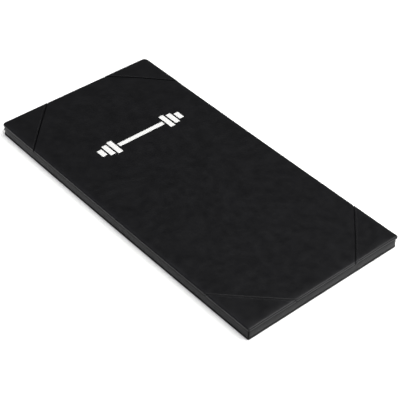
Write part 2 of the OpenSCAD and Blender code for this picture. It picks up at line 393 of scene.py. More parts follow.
for v in cover.data.vertices:
    x, y, z = v.co
    if z > SEAM_TOP + MM:
        rise = min(1.0, (z - SEAM_TOP) / (HEIGHT - SEAM_TOP))
        v.co.z += rise * crease(x, y)
        v.co += outward(v.co) * (1 - rise) * 0.6 * MM * waves(x, y, 0.07, 31.0)
    elif SEAM_LOW - MM / 2 < z < SEAM_TOP + MM / 2:
        mid = math.sin(math.pi * max(0.0, min(1.0, (z - SEAM_LOW) / (SEAM_TOP - SEAM_LOW))))
        ripple = waves(x + z * 0.6, y + z * 0.6, 0.05, 13.0) * 0.6 + waves(x, y, 0.2, 17.0) * 0.7
        on_band = min(HALF_W - abs(x), HALF_L - abs(y)) > BAND_SET_IN / 2
        to_seam = min(SEAM_TOP - z, z - SEAM_LOW)
        pull = PULL_IN * math.exp(-((to_seam / (3.2 * MM)) ** 2)) * on_band
        ripple *= 0.25 if y > CORE_Y else 1.0
        at_corner = abs(x) > CORE_X and abs(y) > CORE_Y
        pinch = CORNER_PINCH * math.exp(-((corner_offset(v.co) / (1.4 * MM)) ** 2)) * at_corner
        v.co += outward(v.co) * (mid * MM * ripple - pull - pinch * on_band)
    if z > SEAM_TOP - MM / 2:
        for sx, sy, overhang in EARS:
            away = (Vector((x, y)) - Vector((sx * HALF_W, sy * HALF_L))).length
            ear = overhang * math.exp(-((away / EAR_REACH) ** 2))
            v.co += Vector((sx * SLANT, sy * SLANT, -0.3)) * ear

# %% [markdown]
# ## Cut the skin along its seams
# Each sewn piece is now a copy of the skin with the other pieces' faces deleted. A piece keeps
# the turned edge that its neighbour is sewn to, and gets the sheet's real thickness as a live
# Solidify, which grows inwards so that the outside stays where the skin put it.


# %% Piece cutter
def sewn_piece_at(center):
    """The name of the sewn piece that a face of the skin belongs to."""
    x, y, z = center
    if z > SEAM_TOP - 0.4 * MM:
        return "top"
    if z < SEAM_LOW + 0.4 * MM:
        return "bottom"
    if HALF_W - abs(x) < HALF_L - abs(y):
        return "left" if x < 0 else "right"
    if y < 0:
        return "near"
    if z > WINDOW_TOP:
        return "strip_upper"
    return "window" if z > WINDOW_LOW else "strip_lower"


def skin_copy(wanted):
    """A bmesh of the skin's faces for which wanted(centre) is true."""
    bm = bmesh.new()
    bm.from_mesh(cover.data)
    spare = [f for f in bm.faces if not wanted(f.calc_center_median())]
    bmesh.ops.delete(bm, geom=spare, context="FACES")
    return bm


cloth_pieces = []
pieces = {}
for name, label, node in (
    ("top_cover", "top", "top_panel"),
    ("bottom_cover", "bottom", "bottom_panel"),
    ("band_left", "left", "side_band_left"),
    ("band_right", "right", "side_band_right"),
    ("band_near", "near", "side_band_near"),
    ("strip_above_zip", "strip_upper", "zip_strip_upper"),
    ("strip_below_zip", "strip_lower", "zip_strip_lower"),
):
    piece = new_piece(name, skin_copy(lambda c, label=label: sewn_piece_at(c) == label))
    give_thickness(piece, SHEET)
    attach(piece, "mat")
    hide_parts(node)
    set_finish(piece, "underside_vinyl" if label == "bottom" else "leatherette")
    pieces[name] = piece
    cloth_pieces.append(piece)
    count(piece)

# %% [markdown]
# ## Corner patches
# A patch is a triangle of the same fabric whose long edge is folded under, so it lies two sheets
# thick along a hem and one sheet thick elsewhere. It is a copy of the skin's corner, cut by the
# plane of its long edge. Rings of cuts beside that edge carry the hem's step, and the points are
# lifted along their normals by the real thicknesses.

# %% Patches with their hems
PATCH_RISE = ((0.0, -2.3), (0.3, 0.1), (1.1, 0.7), (3.0, 0.9), (9.6, 0.9), (12.0, 0.8), (14.0, 0.7))
GROOVE = ((-6.5, 0.0), (-4.8, -0.35), (-3.9, -1.6), (-3.3, -2.7), (3.0, -2.7), (9.0, -0.6))


def profile_at(profile, d):
    """Height at distance d from a patch's long edge; a profile is (distance, height) in mm."""
    for (d0, r0), (d1, r1) in zip(profile, profile[1:]):
        if d <= d1 * MM:
            share = max(0.0, (d - d0 * MM) / ((d1 - d0) * MM))
            return (r0 + (r1 - r0) * share) * MM
    return profile[-1][1] * MM


top_mesh = bmesh.new()
top_mesh.from_mesh(pieces["top_cover"].data)
for sx, sy in ((-1, -1), (1, -1), (-1, 1), (1, 1)):
    across = Vector((sx * SLANT, sy * SLANT, 0))
    for d, _ in GROOVE:
        corner_faces = [
            f for f in top_mesh.faces
            if f.calc_center_median().x * sx > 0 and f.calc_center_median().y * sy > 0
            and patch_distance(*f.calc_center_median().xy) > -2 * GRID
        ]
        slice_skin(top_mesh, across, PATCH_SUM * SLANT + d * MM, corner_faces)
top_mesh.normal_update()
for v in top_mesh.verts:
    d = patch_distance(v.co.x, v.co.y)
    if d > GROOVE[0][0] * MM and v.co.z > SEAM_TOP + MM / 2:
        v.co += v.normal * profile_at(GROOVE, d)
top_mesh.to_mesh(pieces["top_cover"].data)
top_mesh.free()
count(pieces["top_cover"])


def make_patch(name, sx, sy):
    """One corner's patch; sx and sy say which corner."""
    bm = skin_copy(
        lambda c: c.x * sx > 0 and c.y * sy > 0 and c.z > SEAM_TOP + 0.3 * MM
        and patch_distance(c.x, c.y) > -2 * GRID
    )
    across = Vector((sx * SLANT, sy * SLANT, 0))
    for step, (d, _) in enumerate(PATCH_RISE):
        bmesh.ops.bisect_plane(
            bm, geom=bm.verts[:] + bm.edges[:] + bm.faces[:], dist=1e-5,
            plane_co=across * (PATCH_SUM * SLANT + d * MM), plane_no=across,
            clear_inner=step == 0,
        )
    bm.normal_update()
    for v in bm.verts:
        d = patch_distance(v.co.x, v.co.y)
        v.co += v.normal * profile_at(PATCH_RISE, d)
    piece = new_piece(name, bm)
    give_thickness(piece, PATCH_SHEET)
    return piece


patches = {}
for where, sx, sy in (("far_left", -1, 1), ("far_right", 1, 1),
                      ("near_left", -1, -1), ("near_right", 1, -1)):
    piece = make_patch("patch_" + where, sx, sy)
    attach(piece, "mat")
    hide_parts("corner_patch_" + where)
    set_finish(piece, "leatherette")
    patches[where] = (piece, sx, sy)
    cloth_pieces.append(piece)
    count(piece)

# %% [markdown]
# ## Shade in the seams
# A tight seam is a groove a few millimetres deep, and little light reaches its bottom. The
# groove's shape is in the mesh, and its darkness is painted shade on top of it. This attribute
# says where the painted shade goes: the grooves' bottoms, the line under the top's roll and the
# bands' corner seams, where the finish is painted darker and loses its sheen. How dark each seam
# goes was matched. The bands carry some painted shade too, which keeps them from going too pale
# over the glowing floor.


# %% Painted shade in the seams and on the bands
# Painted shade: how dark each corner's seam is painted, and how dark the bands are painted.
SEAM_PAINTED_SHADE = {(-1, 1): 1.0, (1, 1): 1.0, (1, -1): 0.45, (-1, -1): 0.5}
BAND_SHADE = 0.48  # over a whole band


def painted_shade_at(co):
    """How dark the painted shade is at a point, from 0 to 1: most in a seam, some on a band."""
    x, y, z = co
    hem_edge = (0.7 if x > 0 > y else 2.2) * MM
    beside = -4.3 * MM < patch_distance(x, y) < hem_edge and z > SEAM_TOP + 2 * MM
    quarter = (1 if x > 0 else -1, 1 if y > 0 else -1)
    # Painted shadow along the seam just under the top's roll.
    painted_roll_shadow = 0.9 * (abs(z - SEAM_TOP) < 2.0 * MM)
    on_band = SEAM_LOW < z < SEAM_TOP
    # Painted shade on the bands' upright seams at the corners.
    at_corner = 0.9 * (abs(x) > CORE_X and abs(y) > CORE_Y and corner_offset(co) < 2 * MM)
    return max(SEAM_PAINTED_SHADE[quarter] * beside, painted_roll_shadow, on_band * max(BAND_SHADE, at_corner))


for piece in [o for o in cloth_pieces if o.get("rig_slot") == "leatherette"]:
    layer = piece.data.attributes.new("seam", "FLOAT", "POINT")
    for v in piece.data.vertices:
        layer.data[v.index].value = painted_shade_at(v.co)
print("seam shade on", len(cloth_pieces), "pieces")

# %% [markdown]
# ## Stitches
# A lockstitch shows as a row of short raised grains with small gaps, about four millimetres
# from one to the next on heavy goods. Each stitch here is one stretched sphere of a few faces,
# laid on the cloth along the row: the row's points are pulled onto the real surface, whose
# normal turns each stitch to lie flat.

# %% A row of stitches
STITCH, STITCH_GAP = 3.1 * MM, 1.0 * MM
THREAD_WIDE, THREAD_HIGH = 1.0 * MM, 0.45 * MM


def surface_of(piece):
    """A tree that finds the nearest point on a piece's own mesh, without its modifiers."""
    mesh = piece.data
    return BVHTree.FromPolygons(
        [v.co.copy() for v in mesh.vertices], [list(p.vertices) for p in mesh.polygons]
    )


def evenly(path, spacing):
    """Points at even spacing along a line of points, each with its direction."""
    found, left = [], spacing / 2
    for a, b in zip(path, path[1:]):
        length = (b - a).length
        while left < length:
            found.append((a.lerp(b, left / length), (b - a).normalized()))
            left += spacing
        left -= length
    return found


def append_mesh(bm, part):
    """Adds one bmesh to another and frees it."""
    scratch = bpy.data.meshes.new("scratch")
    part.to_mesh(scratch)
    part.free()
    bm.from_mesh(scratch)
    bpy.data.meshes.remove(scratch)


def sew(bm, surface, path):
    """Lays one row of stitches along a path on a surface."""
    row = bmesh.new()
    for point, along in evenly(path, STITCH + STITCH_GAP):
        spot, normal, _, _ = surface.find_nearest(point)
        side = normal.cross(along).normalized()
        along = side.cross(normal)
        turn = Matrix((along, side, normal)).transposed().to_4x4()
        size = Matrix.Diagonal((STITCH / 2, THREAD_WIDE / 2, THREAD_HIGH, 1.0))
        place = Matrix.Translation(spot + normal * 0.05 * MM) @ turn @ size
        bmesh.ops.create_uvsphere(row, u_segments=6, v_segments=4, radius=1.0, matrix=place)
    append_mesh(bm, row)


def over_the_edge(sx, sy, d):
    """The nominal line across a patch at distance d from its edge, down both rolled sides."""
    total = PATCH_SUM + d / SLANT
    drops = [(TOP_ROLL * (1 - math.sin(t)), TOP_ROLL * (1 - math.cos(t)))
             for t in (math.pi / 2 * i / 6 for i in range(7))]
    drops = [(0.0, HEIGHT - SEAM_TOP - MM)] + drops[::-1]
    one = [Vector((HALF_W - into, total - HALF_W + into, HEIGHT - down)) for into, down in drops]
    other = [Vector((total - HALF_L + into, HALF_L - into, HEIGHT - down)) for into, down in drops]
    line = one + other[::-1]
    return [Vector((sx * p.x, sy * p.y, p.z)) for p in line]


patch_stitches = bmesh.new()
for piece, sx, sy in patches.values():
    surface = surface_of(piece)
    for d in (3.0 * MM, 9.0 * MM):
        sew(patch_stitches, surface, over_the_edge(sx, sy, d))
stitches = new_piece("patch_stitches", patch_stitches)
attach(stitches, "mat")
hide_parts("corner_thread")
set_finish(stitches, "thread")
cloth_pieces.append(stitches)
count(stitches)

# %% Stitches beside the zip
zip_stitches = bmesh.new()
for name, up in (("strip_above_zip", 1), ("strip_below_zip", -1)):
    z = ZIP_Z + up * 13 * MM
    row = [Vector((x, HALF_L - BAND_SET_IN, z)) for x in (-CORE_X, CORE_X)]
    sew(zip_stitches, surface_of(pieces[name]), row)
stitches = new_piece("zip_stitches", zip_stitches)
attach(stitches, "mat")
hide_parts("zip_thread")
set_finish(stitches, "thread")
cloth_pieces.append(stitches)
count(stitches)

# %% [markdown]
# ## The foam slab
# Inside is one slab of closed-cell foam. Only an open zip would show it, so it is a plain block
# with soft edges, kept a little below the cover so that the cloth's waves never sink into it.

# %% Foam
FOAM_SLACK, FOAM_CORNER, FOAM_EDGE = 3.5 * MM, 30 * MM, 5 * MM
foam_low, foam_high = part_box("foam_core")
foam_bm = bmesh.new()
bmesh.ops.create_cube(foam_bm, size=1.0)
size = foam_high - foam_low - Vector((1, 1, 1)) * 2 * FOAM_SLACK
bmesh.ops.scale(foam_bm, vec=size, verts=foam_bm.verts)
bmesh.ops.translate(foam_bm, vec=(foam_high + foam_low) / 2, verts=foam_bm.verts)
upright = [e for e in foam_bm.edges if abs(e.verts[0].co.z - e.verts[1].co.z) > 0.01]
bmesh.ops.bevel(foam_bm, geom=upright, offset=FOAM_CORNER, segments=6, affect="EDGES",
                profile=0.5, material=-1)
level = [e for e in foam_bm.edges if abs(e.verts[0].co.z - e.verts[1].co.z) < 1e-6]
bmesh.ops.bevel(foam_bm, geom=level, offset=FOAM_EDGE, segments=3, affect="EDGES",
                profile=0.5, material=-1)
foam = new_piece("foam_slab", foam_bm)
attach(foam, "mat")
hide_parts("foam_core")
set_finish(foam, "foam")
count(foam)

# %% [markdown]
# ## The zip
# A coil zip is two woven tapes, each with a nylon spring sewn along its edge, and the springs'
# loops mesh. The tapes are cut from the same skin as the strips in front of them, moved one
# sheet inwards. A spring is one small circle spun round and pushed along at the same time,
# then flattened, and the two are half a turn apart so that their loops mesh.

# %% Tapes
TAPE_THICK = 0.8 * MM
for name, node in (("tape_upper", "zip_tape_upper"), ("tape_lower", "zip_tape_lower")):
    low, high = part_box(node)
    bm = skin_copy(
        lambda c: c.y > 0 and sewn_piece_at(c) in ("strip_upper", "window", "strip_lower")
    )
    for z, up in ((low.z, 1), (high.z, -1)):
        bmesh.ops.bisect_plane(
            bm, geom=bm.verts[:] + bm.edges[:] + bm.faces[:], dist=1e-6,
            plane_co=(0, 0, z), plane_no=(0, 0, up), clear_inner=True,
        )
    for v in bm.verts:
        v.co -= outward(v.co) * SHEET
    tape = new_piece(name, bm)
    give_thickness(tape, TAPE_THICK)
    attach(tape, "mat")
    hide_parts(node)
    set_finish(tape, "zip_tape")
    pieces[name] = tape
    cloth_pieces.append(tape)
    count(tape)

# %% Coils
COIL_PITCH, WIRE, TURN_STEPS = 2.2 * MM, 0.40 * MM, 8
MESH_IN = 0.35 * MM  # how far each spring's loops reach past the middle
for name, node, up in (("coil_upper", "zip_coil_upper", 1), ("coil_lower", "zip_coil_lower", -1)):
    low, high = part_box(node)
    turns = int((high.x - low.x - 2 * WIRE) / COIL_PITCH)
    start = low.x + WIRE + (COIL_PITCH / 2 if up > 0 else 0.0)
    tall = high.z - low.z + 2 * MESH_IN
    deep = high.y - low.y
    center = Vector((start, (low.y + high.y) / 2, (low.z + high.z) / 2 - up * MESH_IN))
    bm = bmesh.new()
    bmesh.ops.create_circle(bm, segments=5, radius=WIRE, cap_ends=False)
    for axis in "YZ":
        quarter_turn = Matrix.Rotation(math.pi / 2, 3, axis)
        bmesh.ops.rotate(bm, cent=(0, 0, 0), matrix=quarter_turn, verts=bm.verts)
    bmesh.ops.translate(bm, vec=center + Vector((0, 0, tall / 2 - WIRE)), verts=bm.verts)
    bmesh.ops.spin(
        bm, geom=bm.verts[:] + bm.edges[:], cent=center, axis=(1, 0, 0),
        dvec=(COIL_PITCH / TURN_STEPS, 0, 0), angle=2 * math.pi, steps=TURN_STEPS,
        use_duplicate=False, use_merge=False,
    )
    for v in bm.verts:
        v.co.y = center.y + (v.co.y - center.y) * deep / tall
    coil = new_piece(name, bm)
    run = coil.modifiers.new("run", "ARRAY")
    run.count = turns - 1
    run.use_relative_offset = False
    run.use_constant_offset = True
    run.constant_offset_displace = (COIL_PITCH, 0, 0)
    run.use_merge_vertices = True
    run.merge_threshold = 0.02 * MM
    refine(coil)
    bm = bmesh.new()
    bm.from_mesh(coil.data)
    bmesh.ops.holes_fill(bm, edges=[e for e in bm.edges if e.is_boundary])
    bmesh.ops.recalc_face_normals(bm, faces=bm.faces[:])
    bm.to_mesh(coil.data)
    bm.free()
    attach(coil, "mat")
    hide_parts(node)
    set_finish(coil, "zip_coil")
    pieces[name] = coil
    count(coil)

# %% [markdown]
# ## Slider, pull and stops
# These are die-cast or bent metal. The frame's own nodes have the right shape but knife-sharp
# edges, so each gets a merged copy, and all but the loop get a small live bevel, as tumbling and
# plating leave it.


# %% Rounded copies of the metal nodes
def softened(name, node, body, slot, width):
    """A copy of a CAD node with its doubles merged and, given a width, its sharp edges rounded."""
    bm = bmesh.new()
    bm.from_mesh(frame["nodes"][node].data)
    bmesh.ops.remove_doubles(bm, verts=bm.verts[:], dist=2e-6)
    bmesh.ops.dissolve_limit(
        bm, angle_limit=math.radians(1.5), verts=bm.verts[:], edges=bm.edges[:]
    )
    bmesh.ops.recalc_face_normals(bm, faces=bm.faces[:])
    piece = new_piece(name, bm)
    if width:
        soft = piece.modifiers.new("soft_edges", "BEVEL")
        soft.width = width
        soft.segments = 2
        soft.limit_method = "ANGLE"
        soft.angle_limit = math.radians(40)
        piece.modifiers.new("flat_faces", "WEIGHTED_NORMAL")
    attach(piece, body)
    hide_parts(node)
    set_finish(piece, slot)
    count(piece)


for name, node, body, slot, width in (
    ("slider", "zip_slider", "slider", "black_metal", 0.2 * MM),
    ("pull_plate", "zip_pull_link", "pull_link", "black_metal", 0.2 * MM),
    ("pull_loop", "zip_pull_ring", "pull_ring", "nickel", 0.0),
    ("top_stops", "zip_top_stops", "mat", "nickel", 0.15 * MM),
    ("bottom_stop", "zip_bottom_stop", "mat", "nickel", 0.15 * MM),
):
    softened(name, node, body, slot, width)

# %% [markdown]
# ## The printed figure
# Screen-printed ink is a skin a fraction of a millimetre thick that follows every wave of the
# cloth below it. Each bar of the plain dumbbell is a flat outline with rounded corners, cut
# into small squares so that it can bend, and dropped onto the cloth.

# %% Printed bars
ink_low, ink_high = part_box("printed_emblem")
INK_WIDE, INK_TALL = ink_high.x - ink_low.x, ink_high.y - ink_low.y
INK_MID = (ink_low + ink_high) / 2
INK_CELL, INK_FLOAT, INK_THICK = 5 * MM, 0.15 * MM, 0.2 * MM
bars = [(0.0, 0.55 * INK_WIDE, 0.25 * INK_TALL)]
for step, tall in enumerate((0.5, 0.8, 1.0)):
    middle = INK_WIDE * (0.5 - 0.0275 - 0.075 * step)
    bars += [(side * middle, 0.055 * INK_WIDE, tall * INK_TALL) for side in (-1, 1)]
top_surface = surface_of(pieces["top_cover"])
ink = bmesh.new()
for offset, wide, tall in bars:
    bar = bmesh.new()
    bmesh.ops.create_grid(bar, x_segments=1, y_segments=1, size=0.5)
    bmesh.ops.scale(bar, vec=(wide, tall, 1), verts=bar.verts)
    bmesh.ops.bevel(bar, geom=bar.verts[:], offset=3 * MM, segments=3, affect="VERTICES",
                    profile=0.5, material=-1)
    for normal, half in (((1, 0, 0), wide / 2), ((0, 1, 0), tall / 2)):
        lines = int(half / INK_CELL)
        for i in range(-lines, lines + 1):
            slice_skin(bar, normal, i * INK_CELL)
    bmesh.ops.translate(bar, vec=(INK_MID.x + offset, INK_MID.y, 0), verts=bar.verts)
    for v in bar.verts:
        spot = top_surface.ray_cast(Vector((v.co.x, v.co.y, 0.2)), Vector((0, 0, -1)))[0]
        v.co.z = spot.z + INK_FLOAT
    append_mesh(ink, bar)
emblem = new_piece("printed_figure", ink)
give_thickness(emblem, INK_THICK, offset=1.0)
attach(emblem, "mat")
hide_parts("printed_emblem")
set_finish(emblem, "white_ink")
cloth_pieces.append(emblem)
count(emblem)

# %% [markdown]
# ## Bend the mat a little
# A two metre mat never lies quite straight, and a hand-guided seam never runs quite straight.
# Every cloth piece gets the same small sideways shift, so the seams still meet. The shift is
# nothing at the ends, where the zip's hard parts are.

# %% Bow and wandering seams
BOW = 4.5 * MM
SEAM_REACH = 50 * MM  # how far from a patch's seam the cloth goes along with its bow
SEAM_BOW = {(1, 1): 5.0 * MM, (-1, 1): 1.5 * MM, (1, -1): 2.0 * MM, (-1, -1): 2.0 * MM}


def shift_at(x, y):
    """The level shift of the lying mat at a point."""
    bend = Vector((-BOW * (1.0 - (y / HALF_L) ** 2), 0, 0))
    corner = (1 if x > 0 else -1, 1 if y > 0 else -1)
    d = patch_distance(x, y)
    along = ((HALF_W - abs(x)) - (HALF_L - abs(y))) / PATCH_LEG
    if abs(d) < 0.12 and abs(along) < 1:
        fade = math.exp(-((d / SEAM_REACH) ** 2))
        wander = SEAM_BOW[corner] * math.cos(along * math.pi / 2) * fade
        bend += Vector((corner[0], corner[1], 0)) * SLANT * wander
    return bend


for piece in cloth_pieces:
    for v in piece.data.vertices:
        v.co += shift_at(v.co.x, v.co.y)
bpy.data.objects.remove(cover)
print("bent", len(cloth_pieces), "pieces")

turned_top = math.pi / 2 * TOP_ROLL + lip_drop + BAND_SET_IN - TOP_ROLL
turned_low = math.pi / 2 * LOW_ROLL + SEAM_LOW - LOW_ROLL + BAND_SET_IN - LOW_ROLL
corner_turn = math.pi / 4 * (MEAN_R - BAND_SET_IN) - (MEAN_R - BAND_SET_IN)
band_tall = SEAM_TOP - SEAM_LOW
band_long = 2 * (HALF_L - BAND_SET_IN + corner_turn)
band_short = 2 * (HALF_W - BAND_SET_IN + corner_turn)
tape_tall = tape_high.z - tape_low.z
for name, wide, long in (
    ("top_cover", 2 * (HALF_W + turned_top), 2 * (HALF_L + turned_top)),
    ("bottom_cover", 2 * (HALF_W + turned_low), 2 * (HALF_L + turned_low)),
    ("band_left", band_tall, band_long),
    ("band_right", band_tall, band_long),
    ("band_near", band_tall, band_short),
    ("strip_above_zip", SEAM_TOP - WINDOW_TOP, band_short),
    ("strip_below_zip", WINDOW_LOW - SEAM_LOW, band_short),
    ("tape_upper", tape_tall, band_short),
    ("tape_lower", tape_tall, band_short),
):
    print(name, "cut to", round(wide, 4), "x", round(long, 4), "m")

# %% [markdown]
# ## Finishes
# Every finish is a Principled shader with procedural patterns in real millimetres, read from
# Object coordinates, so a pattern keeps its size on every piece.


# %% Helpers for finishes
def linear(code):
    """An sRGB hex colour as linear red, green, blue and alpha."""
    parts = [int(code[i:i + 2], 16) / 255 for i in (1, 3, 5)]
    return [p / 12.92 if p <= 0.04045 else ((p + 0.055) / 1.055) ** 2.4 for p in parts] + [1.0]


def add(tree, kind, values=None, links=None):
    """Adds a node. A value goes to the socket of that name or number, or else to the node."""
    node = tree.nodes.new(kind)
    for key, value in (values or {}).items():
        if isinstance(key, int) or key in node.inputs:
            node.inputs[key].default_value = value
        else:
            setattr(node, key, value)
    for key, socket in (links or {}).items():
        tree.links.new(socket, node.inputs[key])
    return node


def finish_named(name, **sockets):
    """A new material: its tree, its shader and its Object coordinates."""
    material = bpy.data.materials.new(name)
    material.use_nodes = True
    tree = material.node_tree
    tree.nodes.clear()
    shader = add(tree, "ShaderNodeBsdfPrincipled", sockets)
    add(tree, "ShaderNodeOutputMaterial", links={"Surface": shader.outputs["BSDF"]})
    coords = add(tree, "ShaderNodeTexCoord").outputs["Object"]
    return material, tree, shader, coords


def noise_of(tree, coords, size, detail=2.0, rough=0.5):
    """A noise socket whose lumps are about size metres wide."""
    return add(tree, "ShaderNodeTexNoise",
               {"Scale": 1 / size, "Detail": detail, "Roughness": rough},
               {"Vector": coords}).outputs["Fac"]


def paint(piece, material):
    """Gives a piece one material."""
    piece.data.materials.clear()
    piece.data.materials.append(material)


# %% [markdown]
# ### Leatherette
# PVC-coated polyester: a knitted backing under a skin of soft black plastic that was pressed
# between rollers into a fine leather grain. It shows a broad, low sheen, cloudy where the skin
# is a little slack. Its colour carries a painted highlight, a little paler along the rolled
# edges, and painted shade in the seams; fine crumples gather at the near left corner.

# %% Leatherette
GRAIN = 2.2 * MM  # real grain is about 1.2 mm; drawn coarser, since it would not show
leatherette, tree, shader, coords = finish_named("leatherette_embossed_pvc")
cloud = noise_of(tree, coords, 90 * MM, detail=4.0)
tint = add(tree, "ShaderNodeMapRange", {"From Min": 0.35, "From Max": 0.65}, {"Value": cloud})
base = add(tree, "ShaderNodeMix", {"data_type": "RGBA", 6: linear("#0c0c0e"), 7: linear("#111113")},
           {0: tint.outputs["Result"]})
# Painted highlight: the colour goes a little paler along the rolled edges.
painted_roll_highlight = add(tree, "ShaderNodeAttribute", {"attribute_name": "painted_roll_highlight"}).outputs["Fac"]
painted_highlight_base = add(tree, "ShaderNodeMix", {"data_type": "RGBA", 7: linear("#1e1e21")},
           {0: painted_roll_highlight, 6: base.outputs[2]})
# The seam attribute is painted shade: it darkens the colour to near black and takes the sheen off.
seam = add(tree, "ShaderNodeAttribute", {"attribute_name": "seam"}).outputs["Fac"]
painted_shade_base = add(tree, "ShaderNodeMix", {"data_type": "RGBA", 7: linear("#050506")},
           {0: seam, 6: painted_highlight_base.outputs[2]})
tree.links.new(painted_shade_base.outputs[2], shader.inputs["Base Color"])
shine = add(tree, "ShaderNodeMapRange", {"To Min": 0.24, "To Max": 0.02}, {"Value": seam})
tree.links.new(shine.outputs["Result"], shader.inputs["Specular IOR Level"])
slack = noise_of(tree, coords, 42 * MM, detail=3.0)
gloss = add(tree, "ShaderNodeMapRange",
            {"From Min": 0.3, "From Max": 0.7, "To Min": 0.32, "To Max": 0.43}, {"Value": slack})
tree.links.new(gloss.outputs["Result"], shader.inputs["Roughness"])
grain = add(tree, "ShaderNodeTexVoronoi", {"feature": "SMOOTH_F1", "Scale": 1 / GRAIN,
            "Smoothness": 0.6, "Randomness": 1.0}, {"Vector": coords}).outputs["Distance"]
pressed = add(tree, "ShaderNodeBump", {"Strength": 0.35, "Distance": 0.25 * MM}, {"Height": grain})
wrinkles = noise_of(tree, coords, 26 * MM, detail=3.0, rough=0.55)
puckered = add(tree, "ShaderNodeBump", {"Strength": 0.2, "Distance": 0.6 * MM},
               {"Height": wrinkles, "Normal": pressed.outputs["Normal"]})
shader.inputs["IOR"].default_value = 1.5
crumple = add(tree, "ShaderNodeTexNoise", {"noise_type": "RIDGED_MULTIFRACTAL",
              "Scale": 1 / (30 * MM), "Detail": 3.0, "Roughness": 0.5}, {"Vector": coords})
crumpled = add(tree, "ShaderNodeAttribute", {"attribute_name": "crumple"}).outputs["Fac"]
depth = add(tree, "ShaderNodeMath", {"operation": "MULTIPLY"},
            {0: crumple.outputs["Fac"], 1: crumpled}).outputs["Value"]
folded = add(tree, "ShaderNodeBump", {"Strength": 0.7, "Distance": 0.6 * MM},
             {"Height": depth, "Normal": puckered.outputs["Normal"]})
tree.links.new(folded.outputs["Normal"], shader.inputs["Normal"])
print(leatherette.name)

# %% Painted highlight along the rolled edges, and crumples
for piece in [o for o in cloth_pieces if o.get("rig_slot") == "leatherette"]:
    painted_highlight_layer = piece.data.attributes.new("painted_roll_highlight", "FLOAT", "POINT")
    crumple_layer = piece.data.attributes.new("crumple", "FLOAT", "POINT")
    for v in piece.data.vertices:
        from_corner = math.hypot(v.co.x + HALF_W, v.co.y + HALF_L)
        patches_of_it = 0.55 + 0.45 * waves(v.co.x, v.co.y, 0.18, 51.0)
        reach = 0.12 + 0.88 * math.exp(-((from_corner / 0.55) ** 2))
        crumple_layer.data[v.index].value = reach * patches_of_it
        # The painted highlight is strongest on the rolled edges, and patchy along them.
        edge = min(HALF_W - abs(v.co.x), HALF_L - abs(v.co.y))
        near_roll = math.exp(-max(0.0, edge - 4 * MM) / (9 * MM)) * (v.co.z > SEAM_TOP)
        patchy = 0.5 + 0.5 * waves(v.co.x, v.co.y, 0.08, 41.0)
        painted_highlight_layer.data[v.index].value = min(1.0, near_roll * (0.35 + 0.5 * patchy))

# %% [markdown]
# ### Underside vinyl
# The underside is hidden, so this is a usual one: a heavier PVC with raised pips that grip the
# floor.

# %% Underside vinyl
underside, tree, shader, coords = finish_named("underside_pipped_vinyl", Roughness=0.62)
cloud = noise_of(tree, coords, 120 * MM, detail=3.0)
base = add(tree, "ShaderNodeMix", {"data_type": "RGBA", 6: linear("#161617"), 7: linear("#202022")},
           {0: cloud})
tree.links.new(base.outputs[2], shader.inputs["Base Color"])
pips = add(tree, "ShaderNodeTexVoronoi", {"Scale": 1 / (5 * MM), "Randomness": 0.15},
           {"Vector": coords}).outputs["Distance"]
pip = add(tree, "ShaderNodeMapRange", {"From Min": 0.22, "From Max": 0.38, "To Min": 1.0,
          "To Max": 0.0}, {"Value": pips})
raised = add(tree, "ShaderNodeBump", {"Strength": 0.9, "Distance": 0.6 * MM},
             {"Height": pip.outputs["Result"]})
tree.links.new(raised.outputs["Normal"], shader.inputs["Normal"])
print(underside.name)

# %% [markdown]
# ### Thread, tape and coil
# The thread is three-ply polyester, so its plies slant across each stitch. The tapes are woven
# in a herringbone of fine polyester yarn, which scatters light with a slight sheen. The coil is
# nylon monofilament, smooth and half glossy.

# %% Thread, tape and coil
thread, tree, shader, coords = finish_named("polyester_thread", Roughness=0.5)
plies = add(tree, "ShaderNodeTexWave", {"bands_direction": "DIAGONAL", "Scale": 0.63 / (0.9 * MM),
            "Distortion": 0.4}, {"Vector": coords}).outputs["Fac"]
base = add(tree, "ShaderNodeMix", {"data_type": "RGBA", 6: linear("#0e0e10"), 7: linear("#27272a")},
           {0: plies})
tree.links.new(base.outputs[2], shader.inputs["Base Color"])
ply_bump = add(tree, "ShaderNodeBump", {"Strength": 0.6, "Distance": 0.12 * MM}, {"Height": plies})
tree.links.new(ply_bump.outputs["Normal"], shader.inputs["Normal"])
shader.inputs["Sheen Weight"].default_value = 0.2

tape_cloth, tree, shader, coords = finish_named("woven_polyester_tape", Roughness=0.75)
RIB = 1.3 * MM  # a real rib is 0.5 mm; drawn coarser so that it shows
ribs = add(tree, "ShaderNodeTexWave", {"bands_direction": "DIAGONAL", "Scale": 0.63 / RIB,
           "Distortion": 0.6, "Detail": 1.0}, {"Vector": coords}).outputs["Fac"]
base = add(tree, "ShaderNodeMix", {"data_type": "RGBA", 6: linear("#0d0d0f"), 7: linear("#222225")},
           {0: ribs})
tree.links.new(base.outputs[2], shader.inputs["Base Color"])
woven = add(tree, "ShaderNodeBump", {"Strength": 0.8, "Distance": 0.2 * MM}, {"Height": ribs})
tree.links.new(woven.outputs["Normal"], shader.inputs["Normal"])
shader.inputs["Sheen Weight"].default_value = 0.35

nylon, tree, shader, coords = finish_named("nylon_monofilament")
haze = noise_of(tree, coords, 2 * MM, detail=2.0)
gloss = add(tree, "ShaderNodeMapRange", {"To Min": 0.28, "To Max": 0.46}, {"Value": haze})
tree.links.new(gloss.outputs["Result"], shader.inputs["Roughness"])
base = add(tree, "ShaderNodeMix", {"data_type": "RGBA", 6: linear("#0c0c0d"), 7: linear("#19191b")},
           {0: haze})
tree.links.new(base.outputs[2], shader.inputs["Base Color"])
print(thread.name, tape_cloth.name, nylon.name)

# %% [markdown]
# ### Metals
# The slider and link are die-cast zinc with baked black enamel, faintly mottled. The loop is
# bent steel wire, nickel plated: bright, with faint smears.

